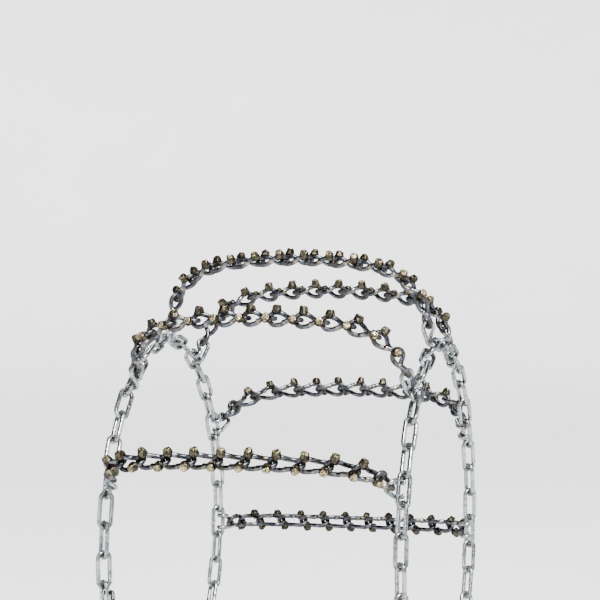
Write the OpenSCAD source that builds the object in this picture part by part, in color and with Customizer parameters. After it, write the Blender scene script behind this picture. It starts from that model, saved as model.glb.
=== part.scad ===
// Ladder snow chain for a wide off-road tyre: two side chains joined by eleven cross chains.
// Origin at the wheel's centre, axle along Y, outer side at -Y, millimetres.
// Angles round the wheel run from -X (front) up through +Z.

/* [Ring] */
// radius from the axle to the cross chains' centre line at the crown of the tread
crown_r = 322; // [280:1:380]
// slopes of the links beside the middle one, in degrees, from the crown down over the shoulder
slope_1 = 3; // [0:0.5:6]
slope_2 = 6; // [3:0.5:12]
slope_3 = 10; // [6:0.5:20]
slope_4 = 27; // [18:0.5:36]
slope_5 = 50; // [42:0.5:58]
slope_6 = 74; // [66:0.5:82]

/* [Cross chain] */
// wire of the twisted links
cross_wire = 5.5; // [4.5:0.1:7]
// inside length of a twisted link
cross_inner = 29.8; // [26:0.1:36]
// inside width of a twisted link, in wires
cross_fit = 1.6; // [1.55:0.05:2]
// angle of each crown from the plane of the tread
twist = 38; // [30:1:45]
// free play between two links
play = 0.8; // [0.7:0.05:1.2]

/* [V-bars] */
// diameter of a bar's stub
bar_d = 8.4; // [6:0.1:10]
// length of a stub from the middle of the wire
bar_l = 9.2; // [7:0.1:12]
// lean of a stub away from the link's middle
bar_lean = 40; // [20:1:60]

/* [Side chain] */
// wire of the side links and hooks
side_wire = 5; // [4:0.1:6]
// inside width of a side link, in wires
side_fit = 1.8; // [1.7:0.05:2.2]

/* [Cross hooks] */
// distance from the hook's eye to the side link's rail
hook_l = 18; // [16:0.5:26]
// space between a hook and the rail that it holds
hook_gap = 0.4; // [0.3:0.05:1]

/* [Fasteners] */
// length of the outer lever past its eye
lever_l = 42; // [36:1:60]
// width of the outer lever
lever_w = 12; // [9:0.5:14]
// thickness of the outer lever
lever_t = 4; // [3:0.5:6]

/* [Hidden] */
$fn = 48;
BAYS = 11;
LINKS_A_BAY = 4;
FIRST = 22;                    // angle of the first cross chain
LAST_OF_BRANCH = 8;            // the bay whose far end carries the fasteners
STEP = 360/BAYS;
SIDE_STEP = STEP/LINKS_A_BAY;
SIDE_ROLL = 45;
HOOK_TURN = 200;               // how far a hook curls round its rail
ARCH_TURN = 42;                // turn of a hook's arch, to cross the last link's crown
CURL_CLEAR = 1.48;              // from a curl to the next side link's end
ARM = 0.84;                    // a hook's arms over the rest of its wire
ARM_LET_IN = 0.85;
BEND_R = 4.5;                  // the inner hook's open bend
BEND_CLEAR = 1;                // from that bend to the chain's other end
LEVER_CLEAR = 3;               // from the side chain to the lever
WELD = 1.15;                   // a weld's radius over the wire's

cr = cross_wire/2;
cw = cross_wire*(cross_fit+1)/2;
ca = cross_inner/2+cr-cw;
pitch = cross_inner-play;
rail_y = cw*cos(twist);
rail_z = cw*sin(twist);
sweep_r = (ca*ca+rail_z*rail_z)/(2*rail_z);
sweep = 2*atan2(rail_z, ca);
weld_r = cr*WELD;
weld_l = 2;
bar_x = ca*0.98;

half = [slope_1, slope_2, slope_3, slope_4, slope_5, slope_6];
slopes = concat([for (i=[len(half)-1:-1:0]) -half[i]], [0], half);
n_links = len(slopes);
function run(k) = k == 0 ? [0, 0] : run(k-1)+pitch*[cos(slopes[k-1]), -sin(slopes[k-1])];
end_y = run(n_links)[0]/2;
end_r = crown_r-run((n_links-1)/2)[1];

sr = side_wire/2;
sw = side_wire*(side_fit+1)/2;
curl_r = side_wire+hook_gap;
rail_r = end_r-hook_l;
arch_r = 1.5*side_wire;
arch_z = end_r+play/2+sr-arch_r;
side_y = end_y+curl_r+sw*sin(SIDE_ROLL);
side_r = rail_r-sw*cos(SIDE_ROLL);
side_pitch = 2*side_r*tan(SIDE_STEP/2);
side_inner = side_pitch+play;
sa = side_inner/2+sr-sw;
curl_x = side_inner/2-side_wire-sr-CURL_CLEAR;
eye_w = 1.4*side_wire;         // from the middle of an eye to its wire's centre line
eye_x = -side_inner/2+eye_w-sr;
neck_r = 0.94*sr;
bend_x = side_pitch/2-side_wire-play-BEND_R-neck_r-BEND_CLEAR;
lever_y = sw*sin(SIDE_ROLL)+sr+LEVER_CLEAR;

function angle_of(bay) = FIRST+(bay-1)*STEP;

// local frame at an angle round the wheel: X along the rim, Y along the axle, Z away from the axle
module at(phi) {
  rotate([0, phi-90, 0]) children();
}

// wire bent down from the origin, leaving along -X
module swept_rail() {
  translate([0, 0, -sweep_r]) rotate([90, 0, 0]) rotate([0, 0, 90])
    rotate_extrude(angle=sweep) translate([sweep_r, 0]) circle(cr);
}

// one crown of a twisted link, with the two half rails that sweep back from it
module twisted_half() {
  translate([ca, 0, 0]) rotate([-twist, 0, 0]) {
    rotate([0, 0, -90]) rotate_extrude(angle=180) translate([cw, 0]) circle(cr);
    translate([0, cw, 0]) rotate([twist+180, 0, 0]) swept_rail();
    translate([0, -cw, 0]) rotate([twist, 0, 0]) swept_rail();
  }
}

// link along X whose crowns lie at opposite angles, with a butt weld in each rail
module twisted_link() {
  twisted_half();
  rotate([0, 180, 0]) twisted_half();
  for (turn=[0, 180]) rotate([turn, 0, 0])
    translate([0, rail_y, 0]) rotate([0, 90+sweep, 0]) cylinder(r=weld_r, h=weld_l, center=true);
}

// the two stubs of hardened bar on a link's high corners
module v_bar_pair() {
  for (turn=[0, 180]) rotate([0, 0, turn])
    translate([-bar_x, rail_y, rail_z]) rotate([-bar_lean, 0, 0]) cylinder(d=bar_d, h=bar_l);
}

// the links of a cross chain, laid from one hook over the crown to the other
module along_cross(first, last) {
  for (k=[first:last]) {
    mid = (run(k)+run(k+1))/2;
    translate([0, mid[0]-end_y, end_r+mid[1]])
      rotate([-slopes[k], 0, 0]) rotate([0, 0, 90]) children();
  }
}

module cross_chain(bay) {
  color("silver") at(angle_of(bay)) along_cross(0, n_links-1) twisted_link();
}

module v_bars(bay) {
  color("darkkhaki") at(angle_of(bay)) along_cross(1, n_links-2) v_bar_pair();
}

// plane in which a link or eye lies: tilted about the chain's run
module rolled(angle) {
  rotate([angle, 0, 0]) rotate([90, 0, 0]) children();
}

// oval link along X, flat in the XY plane
module side_link() {
  for (turn=[0, 180]) rotate([0, 0, turn]) translate([sa, 0, 0]) {
    rotate([0, 0, -90]) rotate_extrude(angle=180) translate([sw, 0]) circle(sr);
    for (s=[-1, 1]) translate([0, s*sw, 0]) rotate([0, -90, 0]) cylinder(r=sr, h=sa);
  }
}

// side is -1 for the outer chain and 1 for the inner one
module side_chain(bay, side) {
  last = bay == LAST_OF_BRANCH ? LINKS_A_BAY-3 : LINKS_A_BAY-2;
  color("lightsteelblue") for (j=[-1:last])
    at(angle_of(bay)+j*SIDE_STEP) translate([0, side*side_y, side_r])
      rolled(side*(j % 2 == 0 ? SIDE_ROLL : -SIDE_ROLL)) side_link();
}

// U-shaped wire over the last cross link, its arms spread to two curls round the side link's rail
module cross_hook() {
  translate([0, 0, arch_z]) rotate([0, 0, -ARCH_TURN]) rotate([90, 0, 0])
    rotate_extrude(angle=180) translate([arch_r, 0]) circle(sr);
  for (s=[-1, 1]) {
    arm_from = [s*arch_r*cos(ARCH_TURN), -s*arch_r*sin(ARCH_TURN), arch_z];
    arm_to = [s*curl_x, 0, rail_r];
    arm(arm_from, arm_to);
    translate([s*curl_x, curl_r, rail_r]) rotate([90, 0, 90]) rotate([0, 0, 180])
      rotate_extrude(angle=HOOK_TURN) translate([curl_r, 0]) circle(sr);
  }
}

// straight wire between two points, let into the thicker wires at its ends
module arm(from, to) {
  run = to-from;
  length = norm(run);
  translate(from) rotate([0, acos(run[2]/length), atan2(run[1], run[0])])
    translate([0, 0, -ARM_LET_IN]) cylinder(r=ARM*sr, h=length+2*ARM_LET_IN);
}

module cross_hooks(bay) {
  color("gainsboro") at(angle_of(bay))
    for (turn=[0, 180]) rotate([0, 0, turn]) translate([0, end_y, 0]) cross_hook();
}

// frame of the missing side link where a fastener hangs
module at_fastener(side) {
  at(angle_of(LAST_OF_BRANCH)+2*SIDE_STEP) translate([0, side*side_y, side_r]) children();
}

// ring that hangs in the last side link's end
module fastener_eye() {
  translate([eye_x, 0, 0]) rotate_extrude() translate([eye_w, 0]) circle(sr);
}

// flat lever outside the chain, on a neck from its eye
module outer_lever() {
  out = eye_w*sin(SIDE_ROLL);
  color("slategray") at_fastener(-1) {
    rolled(-SIDE_ROLL) fastener_eye();
    translate([eye_x, -lever_y, -out]) rotate([-90, 0, 0]) cylinder(r=neck_r, h=lever_y-out);
    translate([eye_x, -lever_y, -out]) rotate([90, 0, 0]) {
      cylinder(d=lever_w, h=lever_t);
      translate([0, -lever_w/2, 0]) cube([lever_l, lever_w, lever_t]);
      translate([lever_l, 0, 0]) cylinder(d=lever_w, h=lever_t);
    }
  }
}

// eye, shank and open bend in one wire
module inner_hook() {
  color("slategray") at_fastener(1) rolled(SIDE_ROLL) {
    fastener_eye();
    translate([bend_x, 0, 0]) {
      rotate([0, -90, 0]) cylinder(r=neck_r, h=bend_x-eye_x-eye_w);
      translate([0, BEND_R, 0]) rotate([0, 0, -90])
        rotate_extrude(angle=180) translate([BEND_R, 0]) circle(neck_r);
    }
  }
}

side_chain(1, -1);  // outer_side_chain_01
side_chain(2, -1);  // outer_side_chain_02
side_chain(3, -1);  // outer_side_chain_03
side_chain(4, -1);  // outer_side_chain_04
side_chain(5, -1);  // outer_side_chain_05
side_chain(6, -1);  // outer_side_chain_06
side_chain(7, -1);  // outer_side_chain_07
side_chain(8, -1);  // outer_side_chain_08
side_chain(9, -1);  // outer_side_chain_09
side_chain(10, -1);  // outer_side_chain_10
side_chain(11, -1);  // outer_side_chain_11
side_chain(1, 1);  // inner_side_chain_01
side_chain(2, 1);  // inner_side_chain_02
side_chain(3, 1);  // inner_side_chain_03
side_chain(4, 1);  // inner_side_chain_04
side_chain(5, 1);  // inner_side_chain_05
side_chain(6, 1);  // inner_side_chain_06
side_chain(7, 1);  // inner_side_chain_07
side_chain(8, 1);  // inner_side_chain_08
side_chain(9, 1);  // inner_side_chain_09
side_chain(10, 1);  // inner_side_chain_10
side_chain(11, 1);  // inner_side_chain_11
cross_chain(1);  // cross_chain_01
cross_chain(2);  // cross_chain_02
cross_chain(3);  // cross_chain_03
cross_chain(4);  // cross_chain_04
cross_chain(5);  // cross_chain_05
cross_chain(6);  // cross_chain_06
cross_chain(7);  // cross_chain_07
cross_chain(8);  // cross_chain_08
cross_chain(9);  // cross_chain_09
cross_chain(10);  // cross_chain_10
cross_chain(11);  // cross_chain_11
v_bars(1);  // v_bars_01
v_bars(2);  // v_bars_02
v_bars(3);  // v_bars_03
v_bars(4);  // v_bars_04
v_bars(5);  // v_bars_05
v_bars(6);  // v_bars_06
v_bars(7);  // v_bars_07
v_bars(8);  // v_bars_08
v_bars(9);  // v_bars_09
v_bars(10);  // v_bars_10
v_bars(11);  // v_bars_11
cross_hooks(1);  // cross_hooks_01
cross_hooks(2);  // cross_hooks_02
cross_hooks(3);  // cross_hooks_03
cross_hooks(4);  // cross_hooks_04
cross_hooks(5);  // cross_hooks_05
cross_hooks(6);  // cross_hooks_06
cross_hooks(7);  // cross_hooks_07
cross_hooks(8);  // cross_hooks_08
cross_hooks(9);  // cross_hooks_09
cross_hooks(10);  // cross_hooks_10
cross_hooks(11);  // cross_hooks_11
outer_lever();
inner_hook();
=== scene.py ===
"""Looks of the ladder snow chain: twisted links, welded bar stubs, hooks, side chains and fasteners."""

import math

import bpy
import numpy as np
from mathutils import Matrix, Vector


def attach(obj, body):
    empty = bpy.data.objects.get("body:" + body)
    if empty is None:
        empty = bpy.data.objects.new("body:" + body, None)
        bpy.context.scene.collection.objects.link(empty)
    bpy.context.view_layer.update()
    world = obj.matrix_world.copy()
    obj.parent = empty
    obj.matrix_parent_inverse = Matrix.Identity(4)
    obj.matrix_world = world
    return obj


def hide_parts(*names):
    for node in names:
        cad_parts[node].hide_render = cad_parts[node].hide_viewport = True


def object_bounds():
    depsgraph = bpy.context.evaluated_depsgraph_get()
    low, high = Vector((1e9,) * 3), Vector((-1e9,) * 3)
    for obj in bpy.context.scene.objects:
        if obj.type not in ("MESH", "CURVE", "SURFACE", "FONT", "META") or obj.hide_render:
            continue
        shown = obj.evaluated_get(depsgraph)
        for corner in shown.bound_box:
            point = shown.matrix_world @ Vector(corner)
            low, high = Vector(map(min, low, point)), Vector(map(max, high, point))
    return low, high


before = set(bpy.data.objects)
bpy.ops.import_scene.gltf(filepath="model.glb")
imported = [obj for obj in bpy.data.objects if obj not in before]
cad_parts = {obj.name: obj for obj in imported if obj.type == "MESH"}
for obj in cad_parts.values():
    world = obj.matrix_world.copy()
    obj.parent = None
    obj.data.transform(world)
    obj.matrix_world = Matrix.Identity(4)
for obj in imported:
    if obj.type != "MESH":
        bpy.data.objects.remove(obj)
cad_box = [list(c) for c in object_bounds()]

MM = 0.001

# ---- sizes as in the CAD, in millimetres and degrees ----
BAYS, LINKS, FIRST, LAST = 11, 4, 22, 8
CROWN_R, HALF_SLOPES = 322, [3, 6, 10, 27, 50, 74]
CROSS_WIRE, CROSS_INNER, CROSS_WIDTH, TWIST, PLAY = 5.5, 29.8, 19.8, 38, 0.8
BAR_D, BAR_L, BAR_LEAN, BAR_PLACE = 8.4, 9.2, 40, 0.98
SIDE_WIRE, SIDE_WIDTH, ROLL = 5, 19, 45
HOOK_L, HOOK_GAP, HOOK_TURN, ARCH_TURN, CURL_CLEAR = 18, 0.4, 200, 42, 1.48
LEVER_L, LEVER_W, LEVER_T, LEVER_CLEAR, LEVER_EASE = 42, 12, 4, 3, 0.9
BEND_R, BEND_CLEAR, SHANK = 4.5, 1, 0.94

# ---- how finely things are drawn: points round a wire or stub, and along a wire ----
CROSS_SIDES, SIDE_SIDES, BAR_SIDES = 16, 14, 26
CROSS_POINTS, SIDE_POINTS, HOOK_POINTS, BEND_POINTS, RING_POINTS = 84, 64, 130, 48, 56

STEP = 360/BAYS
SIDE_STEP = STEP/LINKS


def sin(degrees):
    return math.sin(math.radians(degrees))


def cos(degrees):
    return math.cos(math.radians(degrees))


CR = CROSS_WIRE/2
CW = CROSS_WIDTH/2-CR
CA = CROSS_INNER/2+CR-CW
RAIL_Y, RAIL_Z = CW*cos(TWIST), CW*sin(TWIST)
SWEEP_R = (CA*CA+RAIL_Z*RAIL_Z)/(2*RAIL_Z)
SWEEP = 2*math.degrees(math.atan2(RAIL_Z, CA))
SLOPES = [-s for s in reversed(HALF_SLOPES)]+[0]+HALF_SLOPES
RUN = [np.zeros(2)]
for slope in SLOPES:
    RUN.append(RUN[-1]+(CROSS_INNER-PLAY)*np.array([cos(slope), -sin(slope)]))
END_Y = RUN[-1][0]/2
END_R = CROWN_R-RUN[len(HALF_SLOPES)][1]
SR = SIDE_WIRE/2
SW = SIDE_WIDTH/2-SR
CURL_R = SIDE_WIRE+HOOK_GAP
RAIL_R = END_R-HOOK_L
ARCH_R = 1.5*SIDE_WIRE
ARCH_Z = END_R+PLAY/2+SR-ARCH_R
SIDE_Y = END_Y+CURL_R+SW*sin(ROLL)
SIDE_R = RAIL_R-SW*cos(ROLL)
SIDE_PITCH = 2*SIDE_R*math.tan(math.radians(SIDE_STEP/2))
SIDE_INNER = SIDE_PITCH+PLAY
CURL_X = SIDE_INNER/2-SIDE_WIRE-SR-CURL_CLEAR
SA = SIDE_INNER/2+SR-SW
EYE_W = 1.4*SIDE_WIRE
EYE_X = -SIDE_INNER/2+EYE_W-SR
BEND_X = SIDE_PITCH/2-SIDE_WIRE-PLAY-BEND_R-SHANK*SR-BEND_CLEAR
LEVER_Y = SW*sin(ROLL)+SR+LEVER_CLEAR


# ---- transforms ----
def turn(axis, degrees):
    """The matrix that turns a column about an axis."""
    c, s = cos(degrees), sin(degrees)
    return np.array({
        "x": [[1, 0, 0], [0, c, -s], [0, s, c]],
        "y": [[c, 0, s], [0, 1, 0], [-s, 0, c]],
        "z": [[c, -s, 0], [s, c, 0], [0, 0, 1]],
    }[axis])


def spin(p, axis, degrees):
    return p @ turn(axis, degrees).T


def at(phi, p):
    """From the top of the ring to an angle round the axle."""
    return spin(p, "y", phi-90)


def angle_of(bay):
    return FIRST+(bay-1)*STEP


def rolled(p, angle):
    """A flat link stood on edge along the ring and leaned by an angle."""
    return spin(spin(p, "x", 90), "x", angle)


# ---- tubes ----
def resample(p, n, closed):
    """n points evenly along the path p."""
    q = np.vstack([p, p[:1]]) if closed else p
    step = np.linalg.norm(np.diff(q, axis=0), axis=1)
    keep = np.r_[True, step > 1e-6]
    q = q[keep]
    d = np.r_[0, np.cumsum(np.linalg.norm(np.diff(q, axis=0), axis=1))]
    t = np.linspace(0, d[-1], n, endpoint=not closed)
    return np.stack([np.interp(t, d, q[:, i]) for i in range(3)], 1)


def smooth(p, passes, closed):
    """The path p with each point drawn towards its neighbours."""
    for _ in range(passes):
        if closed:
            p = (np.roll(p, 1, 0)+2*p+np.roll(p, -1, 0))/4
        else:
            p = np.vstack([p[:1], (p[:-2]+2*p[1:-1]+p[2:])/4, p[-1:]])
    return p


def frames(p, closed):
    """A normal and binormal at each point, carried along the path without twisting."""
    if closed:
        t = np.roll(p, -1, 0)-np.roll(p, 1, 0)
    else:
        t = np.gradient(p, axis=0)
    t /= np.linalg.norm(t, axis=1)[:, None]
    n = np.zeros_like(p)
    a = np.cross(t[0], [0.31, 0.52, 0.8])
    n[0] = a/np.linalg.norm(a)
    for i in range(1, len(p)):
        v = n[i-1]-t[i]*np.dot(n[i-1], t[i])
        n[i] = v/np.linalg.norm(v)
    if closed:
        v = n[-1]-t[0]*np.dot(n[-1], t[0])
        v /= np.linalg.norm(v)
        off = math.atan2(np.dot(np.cross(v, n[0]), t[0]), np.dot(v, n[0]))
        for i in range(len(p)):
            k = off*i/len(p)
            b = np.cross(t[i], n[i])
            n[i] = n[i]*math.cos(k)+b*math.sin(k)
    return n, np.cross(t, n)


def tube(p, radius, sides, closed):
    """Vertices and faces; radius is a number or an array that spreads over points and sides."""
    n, b = frames(p, closed)
    m = len(p)
    a = np.linspace(0, 2*np.pi, sides, endpoint=False)
    r = np.broadcast_to(np.asarray(radius, float), (m, sides))
    out = np.cos(a)[None, :, None]*n[:, None, :]+np.sin(a)[None, :, None]*b[:, None, :]
    v = (p[:, None, :]+r[:, :, None]*out).reshape(-1, 3)
    faces = []
    for i in range(m if closed else m-1):
        j = (i+1) % m
        for k in range(sides):
            k2 = (k+1) % sides
            faces.append((i*sides+k, i*sides+k2, j*sides+k2, j*sides+k))
    if not closed:
        faces.append(tuple(reversed(range(sides))))
        faces.append(tuple((m-1)*sides+k for k in range(sides)))
    return v, faces


class Pile:
    """Solids gathered into one mesh, with tone, cut, and a mark of dirt and painted shade kept on each
    vertex.
    """

    def __init__(self):
        self.v, self.f, self.count = [], [], 0
        self.marks = {"tone": [], "grime_and_shade": [], "cut": []}

    def add(self, v, faces, tone=0.5, grime_and_shade=0.0, cut=0.0):
        self.v.append(v)
        self.f += [tuple(i+self.count for i in f) for f in faces]
        for key, value in (("tone", tone), ("grime_and_shade", grime_and_shade), ("cut", cut)):
            self.marks[key].append(np.broadcast_to(np.asarray(value, float), (len(v),)))
        self.count += len(v)

    def mesh(self, name, material):
        v = np.vstack(self.v)*MM
        me = bpy.data.meshes.new(name)
        me.from_pydata(v.tolist(), [], self.f)
        for key, values in self.marks.items():
            mark = me.attributes.new(key, "FLOAT", "POINT")
            mark.data.foreach_set("value", np.concatenate(values).astype(np.float32))
        me.polygons.foreach_set("use_smooth", [len(p.vertices) < 5 for p in me.polygons])
        me.materials.append(material)
        ob = bpy.data.objects.new(name, me)
        bpy.context.scene.collection.objects.link(ob)
        return ob


# ---- materials ----
EDGE = 0.35    # how bright a metal stays where it is seen edge on


class Nodes:
    """A short way to write a node tree."""

    def __init__(self, name):
        self.mat = bpy.data.materials.new(name)
        self.mat.use_nodes = True
        self.tree = self.mat.node_tree
        self.tree.nodes.clear()
        self.out = self.tree.nodes.new("ShaderNodeOutputMaterial")
        self.bsdf = self.tree.nodes.new("ShaderNodeBsdfPrincipled")
        self.tree.links.new(self.bsdf.outputs[0], self.out.inputs[0])
        self.place = self.tree.nodes.new("ShaderNodeTexCoord").outputs["Object"]

    def link(self, a, b):
        if isinstance(a, (int, float)):
            b.default_value = a
        elif isinstance(a, tuple):
            b.default_value = (*a, 1) if len(b.default_value) == 4 else a
        else:
            self.tree.links.new(a, b)

    def noise(self, scale, detail=4, rough=0.55, stretch=None, distort=0.0):
        n = self.tree.nodes.new("ShaderNodeTexNoise")
        n.inputs["Scale"].default_value = scale
        n.inputs["Detail"].default_value = detail
        n.inputs["Roughness"].default_value = rough
        n.inputs["Distortion"].default_value = distort
        place = self.place
        if stretch:
            m = self.tree.nodes.new("ShaderNodeMapping")
            m.inputs["Scale"].default_value = stretch
            self.link(place, m.inputs["Vector"])
            place = m.outputs[0]
        self.link(place, n.inputs["Vector"])
        return n.outputs["Fac"]

    def cells(self, scale):
        n = self.tree.nodes.new("ShaderNodeTexVoronoi")
        n.inputs["Scale"].default_value = scale
        self.link(self.place, n.inputs["Vector"])
        sep = self.tree.nodes.new("ShaderNodeSeparateColor")
        self.link(n.outputs["Color"], sep.inputs[0])
        return sep.outputs[0]

    def mark(self, name):
        n = self.tree.nodes.new("ShaderNodeAttribute")
        n.attribute_name = name
        return n.outputs["Fac"]

    def band(self, value, low, high, out_low=0.0, out_high=1.0):
        n = self.tree.nodes.new("ShaderNodeMapRange")
        n.interpolation_type = "SMOOTHSTEP"
        for key, x in (("From Min", low), ("From Max", high), ("To Min", out_low), ("To Max", out_high)):
            n.inputs[key].default_value = x
        self.link(value, n.inputs["Value"])
        return n.outputs[0]

    def math(self, kind, a, b=0.0):
        n = self.tree.nodes.new("ShaderNodeMath")
        n.operation = kind
        n.use_clamp = kind in ("ADD", "SUBTRACT")
        self.link(a, n.inputs[0])
        self.link(b, n.inputs[1])
        return n.outputs[0]

    def mix(self, factor, a, b):
        n = self.tree.nodes.new("ShaderNodeMix")
        n.data_type = "RGBA"
        self.link(factor, n.inputs[0])
        self.link(a, n.inputs[6])
        self.link(b, n.inputs[7])
        return n.outputs[2]

    def bump(self, height, strength, distance, before=None):
        n = self.tree.nodes.new("ShaderNodeBump")
        n.inputs["Strength"].default_value = strength
        n.inputs["Distance"].default_value = distance
        self.link(height, n.inputs["Height"])
        if before is not None:
            self.link(before, n.inputs["Normal"])
        return n.outputs[0]

    def finish(self, colour, roughness, normal, metallic=1.0, edge=1.0):
        self.bsdf.inputs["Specular Tint"].default_value = (edge, edge, edge, 1)
        self.link(colour, self.bsdf.inputs["Base Color"])
        self.link(roughness, self.bsdf.inputs["Roughness"])
        self.link(normal, self.bsdf.inputs["Normal"])
        self.link(metallic, self.bsdf.inputs["Metallic"])
        return self.mat


def zinc(name, dull, bright, rough):
    """Plated wire: cloudy tone, faint spangle, warm patches, dirt and painted shade where links meet."""
    m = Nodes(name)
    cloud = m.noise(90, 5, 0.6)
    fine = m.noise(900, 3, 0.6)
    base = m.mix(m.band(cloud, 0.32, 0.68), dull, bright)
    base = m.mix(m.math("MULTIPLY", m.band(m.cells(420), 0.55, 0.95), 0.26), base, (0.74, 0.78, 0.80))
    base = m.mix(m.math("MULTIPLY", m.band(m.mark("tone"), 0.35, 1.0), 0.4), base, (0.31, 0.35, 0.36))
    warm = m.band(m.noise(160, 3, 0.5, distort=0.6), 0.58, 0.74, 0.0, 0.55)
    base = m.mix(warm, base, (0.40, 0.33, 0.21))
    # painted shade: near-black patches where the links meet, mixed with dirt; the same mask makes it rougher
    # and less metallic
    dirt_and_shade = m.math("MULTIPLY", m.mark("grime_and_shade"), m.band(m.noise(330, 4, 0.65), 0.34, 0.62))
    base = m.mix(dirt_and_shade, base, (0.055, 0.048, 0.038))
    roughness = m.math("ADD", m.band(cloud, 0.3, 0.7, rough, rough+0.14), m.math("MULTIPLY", dirt_and_shade, 0.3))
    normal = m.bump(fine, 0.22, 0.0003)
    normal = m.bump(m.noise(260, 3, 0.5), 0.30, 0.0006, normal)
    return m.finish(base, roughness, normal, m.band(dirt_and_shade, 0.3, 1.0, 1.0, 0.55), EDGE)


def gunmetal(name):
    """Wire of the cross chain: dark drawn steel, bluish, with olive patches, pits, and dirt with painted
    shade in the joints.
    """
    m = Nodes(name)
    cloud = m.noise(120, 5, 0.6)
    base = m.mix(m.band(cloud, 0.33, 0.67), (0.020, 0.023, 0.032), (0.14, 0.152, 0.18))
    base = m.mix(m.math("MULTIPLY", m.mark("tone"), 0.35), base, (0.06, 0.064, 0.074))
    olive = m.band(m.noise(150, 4, 0.6, distort=0.8), 0.52, 0.70, 0.0, 0.75)
    base = m.mix(olive, base, (0.12, 0.09, 0.038))
    weld = m.math("MULTIPLY", m.mark("cut"), m.band(m.noise(500, 3, 0.6), 0.35, 0.6))
    base = m.mix(weld, base, (0.36, 0.30, 0.18))
    # painted shade: near-black patches on the crowns where links meet, mixed with dirt
    dirt_and_shade = m.math("MULTIPLY", m.mark("grime_and_shade"), m.band(m.noise(300, 5, 0.65), 0.30, 0.60))
    base = m.mix(dirt_and_shade, base, (0.035, 0.031, 0.026))
    pits = m.band(m.noise(1300, 2, 0.5), 0.60, 0.70)
    base = m.mix(m.math("MULTIPLY", pits, 0.6), base, (0.07, 0.065, 0.06))
    roughness = m.math("ADD", m.band(cloud, 0.3, 0.7, 0.13, 0.30), m.math("MULTIPLY", dirt_and_shade, 0.35))
    normal = m.bump(m.noise(700, 4, 0.6), 0.30, 0.0004)
    normal = m.bump(m.noise(210, 3, 0.5), 0.35, 0.0009, normal)
    return m.finish(base, roughness, normal, m.band(dirt_and_shade, 0.3, 1.0, 1.0, 0.5), EDGE)


def sheared(name):
    """Hard bar ends: dark brown scale and weld on the sides, yellowish torn metal on the cut."""
    m = Nodes(name)
    coarse = m.noise(240, 5, 0.65)
    side = m.mix(m.band(coarse, 0.40, 0.68), (0.018, 0.016, 0.012), (0.125, 0.108, 0.070))
    torn = m.band(m.noise(420, 5, 0.7, distort=0.5), 0.42, 0.62)
    face = m.mix(torn, (0.050, 0.042, 0.024), (0.70, 0.58, 0.34))
    base = m.mix(m.mark("cut"), side, face)
    base = m.mix(m.math("MULTIPLY", m.mark("tone"), 0.45), base, (0.040, 0.036, 0.027))
    sparks = m.band(m.noise(900, 3, 0.6), 0.62, 0.72, 0.0, 0.7)
    base = m.mix(sparks, base, (0.62, 0.58, 0.48))
    # painted shade: the stub's foot and weld lumps darkened where they sit on the wire, mixed with dirt
    dirt_and_shade = m.math("MULTIPLY", m.mark("grime_and_shade"), m.band(m.noise(380, 4, 0.6), 0.3, 0.6))
    base = m.mix(dirt_and_shade, base, (0.022, 0.019, 0.016))
    roughness = m.band(m.noise(520, 4, 0.6), 0.3, 0.7, 0.20, 0.46)
    normal = m.bump(m.noise(1000, 4, 0.7), 0.35, 0.0004)
    normal = m.bump(m.noise(330, 4, 0.6), 0.55, 0.0010, normal)
    return m.finish(base, roughness, normal, 1.0, EDGE)


def worn(name):
    """Forged lever and hook: grey plating rubbed through to dark steel, fine scratches, brown specks."""
    m = Nodes(name)
    cloud = m.noise(110, 5, 0.6)
    base = m.mix(m.band(cloud, 0.34, 0.66), (0.055, 0.059, 0.066), (0.19, 0.20, 0.21))
    bare = m.band(m.noise(55, 5, 0.7, distort=0.7), 0.50, 0.60, 0.0, 0.8)
    base = m.mix(bare, base, (0.055, 0.052, 0.050))
    scratch = m.math("MULTIPLY", m.band(m.noise(140, 6, 0.8, stretch=(1, 1, 14)), 0.60, 0.68), 0.7)
    base = m.mix(scratch, base, (0.50, 0.52, 0.53))
    rust = m.band(m.noise(260, 4, 0.65), 0.60, 0.70, 0.0, 0.75)
    base = m.mix(rust, base, (0.16, 0.085, 0.035))
    dirt_and_shade = m.math("MULTIPLY", m.mark("grime_and_shade"), m.band(m.noise(330, 4, 0.65), 0.34, 0.62))
    base = m.mix(dirt_and_shade, base, (0.04, 0.035, 0.03))
    roughness = m.math("ADD", m.band(cloud, 0.3, 0.7, 0.34, 0.50), m.math("MULTIPLY", rust, 0.4))
    normal = m.bump(scratch, 0.35, -0.0003)
    normal = m.bump(m.noise(900, 4, 0.6), 0.25, 0.0003, normal)
    normal = m.bump(m.noise(180, 3, 0.5), 0.35, 0.0008, normal)
    return m.finish(base, roughness, normal, m.band(rust, 0.2, 0.8, 1.0, 0.45), EDGE)


SIDE = zinc("side_chain_zinc", (0.13, 0.145, 0.155), (0.40, 0.43, 0.445), 0.15)
HOOK = zinc("hook_zinc", (0.15, 0.165, 0.175), (0.44, 0.465, 0.47), 0.15)
FASTENER = worn("fastener_steel")
CROSS = gunmetal("cross_chain_steel")
BARS = sheared("v_bar_steel")


# ---- the twisted link ----
def twisted_path():
    """Centre line of a twisted link along X, as a loop, with 1 where it is a crown."""
    a = np.radians(np.linspace(-90, 90, 40))
    u = np.radians(np.linspace(0, SWEEP, 40))
    crown = np.stack([CW*np.cos(a), CW*np.sin(a), 0*a], 1)
    arc = np.stack([-SWEEP_R*np.sin(u), 0*u, -SWEEP_R*(1-np.cos(u))], 1)
    left = spin(arc, "x", TWIST+180)+[0, CW, 0]
    right = spin(arc, "x", TWIST)+[0, -CW, 0]
    crown, left, right = (spin(q, "x", -TWIST)+[CA, 0, 0] for q in (crown, left, right))
    other = np.array([-1, 1, -1])
    loop = np.vstack([crown, left, (left*other)[::-1], (crown*other)[::-1], right*other, right[::-1]])
    return smooth(resample(loop, CROSS_POINTS, True), 1, True)


LOOP = twisted_path()


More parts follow.
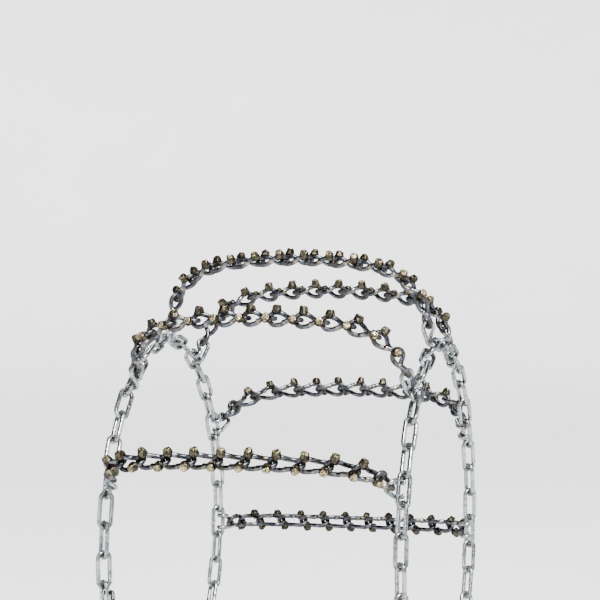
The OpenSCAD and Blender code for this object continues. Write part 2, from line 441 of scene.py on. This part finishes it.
def twisted_link(rng):
    """Vertices, faces, dirt-and-shade mark and weld of a link, with its own small unevenness and one welded
    seam.
    """
    p = LOOP
    a = np.linspace(0, 2*np.pi, CROSS_SIDES, endpoint=False)[None, :]
    seam = np.exp(-((p[:, 0]+rng.uniform(-0.8, 0.8))/1.25)**2)*(p[:, 1] > 0)
    lobe = 1+0.5*np.sin(a+rng.uniform(0, 6.3))+0.3*np.sin(2*a+rng.uniform(0, 6.3))
    r = CR*(1+0.20*seam[:, None]*lobe)
    r *= 1+0.012*np.sin(3*a+rng.uniform(0, 6.3)+p[:, :1]*0.4)
    v, f = tube(p, r, CROSS_SIDES, True)
    # painted shade: darkest on the inner side of each crown, where the next link sits, mixed with dirt
    inward = np.clip((CA+CW+CR-np.abs(v[:, 0]))/(2*CR+0.01)-0.35, 0, 1)
    crown = np.clip((np.abs(v[:, 0])-CA*0.62)/4.0, 0, 1)
    grime_and_shade = crown*(0.35+0.65*inward)
    return v, f, grime_and_shade, np.repeat(seam, CROSS_SIDES)


def lay(v, k, bay):
    """From a link's own frame to its place k along the cross chain of a bay."""
    mid = (RUN[k]+RUN[k+1])/2
    q = spin(spin(v, "z", 90), "x", -SLOPES[k])+[0, mid[0]-END_Y, END_R+mid[1]]
    return at(angle_of(bay), q)


WAVES = 6


def wobble(v, rng, size, scale):
    """Moves points by a few smooth random waves."""
    out = np.zeros_like(v)
    for _ in range(WAVES):
        k = rng.normal(size=3)/scale
        out += rng.normal(size=3)[None, :]*np.sin(v @ k+rng.uniform(0, 6.3))[:, None]
    return v+out*size/WAVES**0.5


def bar_stub(rng):
    """One sheared bar end standing on the wire, along Z: weld collar, rough side, torn cut."""
    sides = BAR_SIDES
    length = BAR_L*rng.uniform(0.90, 0.99)
    heights = np.array([-1.2, 0.2, 1.4, 2.6, 3.8, 5.0, 6.2, 7.2, 8.0])*length/BAR_L
    radii = np.array([1.167, 1.262, 1.274, 1.238, 1.190, 1.131, 1.083, 1.036, 0.952])*BAR_D/2
    a = np.linspace(0, 2*np.pi, sides, endpoint=False)
    rings, cut = [], []
    tilt, way = rng.uniform(0.05, 0.22), rng.uniform(0, 6.3)
    square = 1+0.045*np.cos(4*(a-rng.uniform(0, 6.3)))
    for z, r in zip(heights, radii):
        rings.append(np.stack([r*square*np.cos(a), r*square*np.sin(a), 0*a+z], 1))
        cut.append(np.zeros(sides))
    for share, drop in ((0.97, 0.55), (0.88, 0.12), (0.70, 0.0), (0.45, 0.08), (0.2, 0.0)):
        x, y = share*radii[-1]*square*np.cos(a), share*radii[-1]*square*np.sin(a)
        step = 0.30*np.tanh(2.2*(x*math.cos(way+1)+y*math.sin(way+1)+0.5))
        slant = tilt*(x*math.cos(way)+y*math.sin(way)+radii[-1])*0.6
        rings.append(np.stack([x, y, length-drop-slant+step-0.3], 1))
        cut.append(np.full(sides, 0.35 if share > 0.95 else 1.0))
    v = np.vstack(rings)
    n = len(rings)
    f = [(i*sides+k, i*sides+(k+1) % sides, (i+1)*sides+(k+1) % sides, (i+1)*sides+k)
         for i in range(n-1) for k in range(sides)]
    top = (n-1)*sides
    v = np.vstack([v, v[top:].mean(0)[None, :], [[0, 0, heights[0]]]])
    f += [(top+k, top+(k+1) % sides, len(v)-2) for k in range(sides)]
    f += [((k+1) % sides, k, len(v)-1) for k in range(sides)]
    cut = np.concatenate(cut+[np.array([1.0, 0.0])])
    v = wobble(v, rng, 0.46, 2.1)
    v = wobble(v, rng, 0.17, 0.9)
    # painted shade: darker towards the foot, where the stub sits on the wire, mixed with dirt
    grime_and_shade = np.clip((3.2-v[:, 2])/3.5, 0, 1)*0.85
    return v, f, cut, grime_and_shade


BLOBS, BLOB_ROWS, BLOB_SIDES, BLOB_OUT = 7, 7, 10, 3.7


def weld_blobs(rng):
    """Lumps of weld round a stub's foot."""
    u = np.linspace(0.12, np.pi-0.12, BLOB_ROWS)[:, None]
    a = np.linspace(0, 2*np.pi, BLOB_SIDES, endpoint=False)[None, :]
    ball = np.stack([np.sin(u)*np.cos(a), np.sin(u)*np.sin(a), 0.8*np.cos(u)+0*a], 2).reshape(-1, 3)
    f = []
    for i in range(BLOB_ROWS-1):
        for k in range(BLOB_SIDES):
            here, there, k2 = i*BLOB_SIDES, (i+1)*BLOB_SIDES, (k+1) % BLOB_SIDES
            f.append((here+k, there+k, there+k2, here+k2))
    f += [tuple(range(BLOB_SIDES)), tuple(reversed(range(len(ball)-BLOB_SIDES, len(ball))))]
    out = []
    for _ in range(BLOBS):
        angle = rng.uniform(0, 360)
        r = rng.uniform(1.3, 2.3)
        centre = np.array([BLOB_OUT*cos(angle), BLOB_OUT*sin(angle), rng.uniform(0.2, 3.6)])
        out.append((wobble(r*ball, rng, 0.12, 1.0)+centre, f))
    return out


def place_stub(v, half):
    """From a stub's own frame to its link's, at one end or, turned round, at the other."""
    q = spin(v, "x", -BAR_LEAN)+[-CA*BAR_PLACE, RAIL_Y, RAIL_Z]
    return spin(q, "z", half)


for bay in range(1, BAYS+1):
    rng = np.random.default_rng(100+bay)
    links, bars = Pile(), Pile()
    for k in range(len(SLOPES)):
        v, f, grime_and_shade, seam = twisted_link(rng)
        v = spin(v, "x", rng.uniform(-0.6, 0.6))
        links.add(lay(v, k, bay), f, rng.uniform(0, 1), grime_and_shade, seam)
        if 0 < k < len(SLOPES)-1:
            for half in (0, 180):
                tone = rng.uniform(0, 1)
                v, f, cut, grime_and_shade = bar_stub(rng)
                bars.add(lay(place_stub(v, half), k, bay), f, tone, grime_and_shade, cut)
                for v, f in weld_blobs(rng):
                    # weld lumps get half the mark: painted shade at the stub's foot, mixed with dirt
                    bars.add(lay(place_stub(v, half), k, bay), f, tone, 0.5, 0.15)
    chain = links.mesh("cross_links_%02d" % bay, CROSS)
    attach(chain, "cross_%02d" % bay)
    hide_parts("cross_chain_%02d" % bay)
    stubs = bars.mesh("bar_stubs_%02d" % bay, BARS)
    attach(stubs, "cross_%02d" % bay)
    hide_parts("v_bars_%02d" % bay)


# ---- side chains ----
def side_path():
    """Centre line of a flat side link along X, as a loop."""
    a = np.radians(np.linspace(-90, 90, 40))
    x = np.linspace(SA, -SA, 40)
    crown = np.stack([SA+SW*np.cos(a), SW*np.sin(a), 0*a], 1)
    back = np.stack([x, 0*x+SW, 0*x], 1)
    loop = np.vstack([crown, back, crown*[-1, -1, 1], back*[-1, -1, 1]])
    return smooth(resample(loop, SIDE_POINTS, True), 1, True)


SIDE_LOOP = side_path()


def side_link(rng):
    """Vertices, faces, dirt-and-shade mark and weld of a side link with one welded seam."""
    p = SIDE_LOOP
    a = np.linspace(0, 2*np.pi, SIDE_SIDES, endpoint=False)[None, :]
    seam = np.exp(-((p[:, 0]+rng.uniform(-0.6, 0.6))/1.1)**2)*(p[:, 1] < 0)
    r = SR*(1+0.13*seam[:, None]*(1+0.5*np.sin(a+rng.uniform(0, 6.3))))
    v, f = tube(p, r, SIDE_SIDES, True)
    # painted shade: darker inside each crown, where the next link passes through, mixed with dirt
    grime_and_shade = np.clip((np.abs(v[:, 0])-SA)/3, 0, 1)*np.clip((SA+SW+SR-np.abs(v[:, 0]))/SIDE_WIRE, 0, 1)
    return v, f, grime_and_shade, np.repeat(seam, SIDE_SIDES)


for bay in range(1, BAYS+1):
    for side, word in ((-1, "outer"), (1, "inner")):
        rng = np.random.default_rng(300+bay*2+side)
        pile = Pile()
        for j in range(-1, 2 if bay == LAST else 3):
            v, f, grime_and_shade, seam = side_link(rng)
            v = rolled(v, side*(ROLL if j % 2 == 0 else -ROLL))+[0, side*SIDE_Y, SIDE_R]
            pile.add(at(angle_of(bay)+j*SIDE_STEP, v), f, rng.uniform(0, 1), grime_and_shade, seam)
        ob = pile.mesh("%s_links_%02d" % (word, bay), SIDE)
        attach(ob, "bay_%02d" % bay)
        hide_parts("%s_side_chain_%02d" % (word, bay))


# ---- cross hooks ----
END_ROUND, END_REACH = 1.6, 1.75


def taper(p, radius):
    """Radius at each point of an open wire whose last end is rounded, one row a point."""
    length = np.linalg.norm(np.diff(p, axis=0), axis=1).sum()
    left = np.linspace(length, 0, len(p))
    into = (END_ROUND-left).clip(0, END_ROUND)/END_REACH
    return radius*np.sqrt(np.clip(1-into**2, 0.06, 1))[:, None]


def hook_path():
    """Centre line from one curl's tip over the arch to the other's."""
    u = np.radians(np.linspace(0, HOOK_TURN, 50))
    curl = np.stack([0*u, -CURL_R*np.cos(u), -CURL_R*np.sin(u)], 1)
    a = np.radians(np.linspace(0, 180, 60))
    arch = spin(np.stack([ARCH_R*np.cos(a), 0*a, ARCH_R*np.sin(a)], 1), "z", -ARCH_TURN)+[0, 0, ARCH_Z]
    parts = []
    for s in (1, -1):
        c = curl+[s*CURL_X, CURL_R, RAIL_R]
        start = arch[0] if s > 0 else arch[-1]
        t = np.linspace(0, 1, 30)[1:-1, None]
        arm = c[0]+(start-c[0])*t
        parts.append((c, arm))
    (c1, a1), (c2, a2) = parts
    path = np.vstack([c1[::-1], a1, arch, a2[::-1], c2])
    return smooth(resample(path, HOOK_POINTS, False), 6, False)


HOOK_PATH = hook_path()


for bay in range(1, BAYS+1):
    rng = np.random.default_rng(500+bay)
    pile = Pile()
    for half in (0, 180):
        r = taper(HOOK_PATH, SR)
        v, f = tube(HOOK_PATH, np.minimum(r, r[::-1]), SIDE_SIDES, False)
        # painted shade: darker at the arch's top and the curls' bottoms, where other links hang in the hook,
        # mixed with dirt
        grime_and_shade = np.clip((v[:, 2]-ARCH_Z-2)/4, 0, 1)*0.8+np.clip((RAIL_R+1-v[:, 2])/5, 0, 1)*0.5
        v = spin(v+[0, END_Y, 0], "z", half)
        pile.add(at(angle_of(bay), v), f, rng.uniform(0, 0.7), grime_and_shade)
    ob = pile.mesh("hooks_%02d" % bay, HOOK)
    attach(ob, "bay_%02d" % bay)
    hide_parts("cross_hooks_%02d" % bay)


# ---- fasteners ----
def place_fastener(v, side):
    """To the place of the link that the last bay leaves out; side is -1 for outer, 1 for inner."""
    return at(angle_of(LAST)+2*SIDE_STEP, v+[0, side*SIDE_Y, SIDE_R])


def ring(radius, wire):
    a = np.linspace(0, 2*np.pi, RING_POINTS, endpoint=False)
    return tube(np.stack([radius*np.cos(a), radius*np.sin(a), 0*a], 1), wire, SIDE_SIDES, True)


def plate(length, width, thick, round_over):
    """A flat bar with round ends and eased edges, from the origin along +X, standing up from z 0."""
    run = length/(width/2)
    a1 = np.radians(np.linspace(90, 270, 20))
    a2 = np.radians(np.linspace(-90, 90, 20))
    near, far = (np.stack([np.cos(a), np.sin(a)], 1) for a in (a1, a2))
    outline = np.vstack([near, far+[run, 0]])
    n = len(outline)
    spine = np.hstack([np.clip(outline[:, :1], 0, run), np.zeros((n, 1))])
    edge = [(inset, z*round_over) for inset, z in ((0.3, 0), (0.09, 0), (0.03, 0.25), (0, 0.8), (0, 1.0))]
    levels = edge+[(inset, thick-z) for inset, z in reversed(edge)]
    v, f = [], []
    for inset, z in levels:
        q = spine+(outline-spine)*(1-inset)
        v.append(np.hstack([q*width/2, np.full((n, 1), z)]))
    v = np.vstack(v)
    for i in range(len(levels)-1):
        f += [(i*n+k, i*n+(k+1) % n, (i+1)*n+(k+1) % n, (i+1)*n+k) for k in range(n)]
    f += [tuple(reversed(range(n))), tuple((len(levels)-1)*n+k for k in range(n))]
    return v, f


pile = Pile()
v, f = ring(EYE_W, SR)
pile.add(place_fastener(rolled(v+[EYE_X, 0, 0], -ROLL), -1), f, 0.4, 0.2)
out = EYE_W*sin(ROLL)
t = np.linspace(0, 1, 16)
stem = np.stack([0*t+EYE_X, np.linspace(-out, -LEVER_Y-1, len(t)), 0*t-out], 1)
flare = 1+0.18*np.exp(-((t-1)/0.2)**2)
v, f = tube(stem, SHANK*SR*flare[:, None], SIDE_SIDES, False)
pile.add(place_fastener(v, -1), f, 0.4, 0.3)
v, f = plate(LEVER_L, LEVER_W, LEVER_T, LEVER_EASE)
pile.add(place_fastener(spin(v, "x", 90)+[EYE_X, -LEVER_Y, -out], -1), f, 0.5, 0.1)
lever = pile.mesh("lever_bar", FASTENER)
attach(lever, "lever")
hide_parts("outer_lever")

pile = Pile()
v, f = ring(EYE_W, SR)
pile.add(place_fastener(rolled(v+[EYE_X, 0, 0], ROLL), 1), f, 0.4, 0.2)
a = np.radians(np.linspace(-90, 90, 30))
shank = np.stack([np.linspace(EYE_X+EYE_W-1, BEND_X, 16), 0*t, 0*t], 1)
bend = np.stack([BEND_X+BEND_R*np.cos(a), BEND_R+BEND_R*np.sin(a), 0*a], 1)
wire = resample(np.vstack([shank[:-1], bend]), BEND_POINTS, False)
v, f = tube(wire, taper(wire, SHANK*SR), SIDE_SIDES, False)
pile.add(place_fastener(rolled(v, ROLL), 1), f, 0.4, 0.1)
catch = pile.mesh("hook_wire", FASTENER)
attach(catch, "hook")
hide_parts("inner_hook")


# ---- floor, light, camera ----
def pale(name, colour, rough):
    """Paper backdrop, faintly uneven."""
    m = Nodes(name)
    tone = m.mix(m.band(m.noise(3, 3, 0.5), 0.3, 0.7), colour, tuple(c*0.975 for c in colour))
    roughness = m.band(m.noise(30, 3, 0.5), 0.3, 0.7, rough, rough+0.1)
    return m.finish(tone, roughness, m.bump(m.noise(60, 3, 0.5), 0.03, 0.0005), 0.0)


SWING_BELOW = 0.038    # the opened chain swings this far below the closed ring, in metres
low = cad_box[0][2]-SWING_BELOW
spokes, flat_r, rise_r = 72, 6.5, 3
profile = [(0.6, 0.0), (2.0, 0.0), (4.5, 0.0), (flat_r, 0.0)]
profile += [(flat_r+rise_r*sin(t), rise_r*(1-cos(t))) for t in range(6, 73, 6)]
bowl_v = [(0.0, 0.0, low)]
for r, z in profile:
    bowl_v += [(r*cos(360*i/spokes), r*sin(360*i/spokes), low+z) for i in range(spokes)]
bowl_f = [(0, 1+i, 1+(i+1) % spokes) for i in range(spokes)]
for level in range(len(profile)-1):
    a, b = 1+level*spokes, 1+(level+1)*spokes
    bowl_f += [(a+i, b+i, b+(i+1) % spokes, a+(i+1) % spokes) for i in range(spokes)]
me = bpy.data.meshes.new("floor")
me.from_pydata(bowl_v, [], bowl_f)
me.polygons.foreach_set("use_smooth", [True]*len(me.polygons))
me.materials.append(pale("floor_pale", (0.92, 0.92, 0.92), 0.65))
floor = bpy.data.objects.new("floor", me)
bpy.context.scene.collection.objects.link(floor)

world = bpy.data.worlds.new("studio")
bpy.context.scene.world = world
world.use_nodes = True
world.node_tree.nodes["Background"].inputs[0].default_value = (0.16, 0.17, 0.185, 1)
world.node_tree.nodes["Background"].inputs[1].default_value = 1.0

sun = bpy.data.lights.new("overhead", "SUN")
sun.energy, sun.angle = 8.6, math.radians(20)
sun_ob = bpy.data.objects.new("overhead", sun)
sun_ob.rotation_mode = "QUATERNION"
sun_ob.rotation_quaternion = Vector((0.55, 0.35, -1.0)).to_track_quat("-Z", "Y")
bpy.context.scene.collection.objects.link(sun_ob)


def softbox(name, where, target, width, height, power, colour=(1, 1, 1)):
    light = bpy.data.lights.new(name, "AREA")
    light.shape = "RECTANGLE"
    light.size, light.size_y, light.energy, light.color = width, height, power, colour
    ob = bpy.data.objects.new(name, light)
    ob.location = where
    ob.rotation_mode = "QUATERNION"
    ob.rotation_quaternion = (Vector(target)-Vector(where)).to_track_quat("-Z", "Y")
    bpy.context.scene.collection.objects.link(ob)


softbox("key", (-1.6, -1.5, 2.4), (0, 0, 0), 1.2, 1.2, 105, (1.0, 0.985, 0.96))
softbox("fill", (-2.2, 1.9, 1.0), (0, 0, 0), 1.6, 1.2, 28, (0.93, 0.97, 1.0))
softbox("back", (1.8, 0.6, 2.2), (0, 0, 0), 1.4, 1.0, 40)
softbox("side", (0.6, -2.4, 1.2), (0, 0, 0), 1.0, 1.4, 26)
softbox("front", (-3.4, -0.75, 1.5), (0, 0, 0), 0.7, 1.6, 45)

AZ, EL, TIP = 13.7, 8.79, 6.2644    # degrees: round the axle, above the floor, and looking up over the axle
DISTANCE, LENS = 2.5155, 128.394    # metres, and millimetres on a 36 mm sensor
camera = bpy.data.cameras.new("camera")
camera.sensor_width = 36
camera.lens = LENS
camera.clip_start, camera.clip_end = 0.05, 200
eye = Vector((-cos(AZ)*cos(EL), -sin(AZ)*cos(EL), sin(EL)))*DISTANCE
ahead = -eye.normalized()
right = ahead.cross(Vector((0, 0, 1))).normalized()
up = right.cross(ahead)
look = ahead*cos(TIP)+up*sin(TIP)
cam = bpy.data.objects.new("camera", camera)
cam.location = eye
cam.rotation_mode = "QUATERNION"
cam.rotation_quaternion = look.to_track_quat("-Z", "Y")
bpy.context.scene.collection.objects.link(cam)
bpy.context.scene.camera = cam
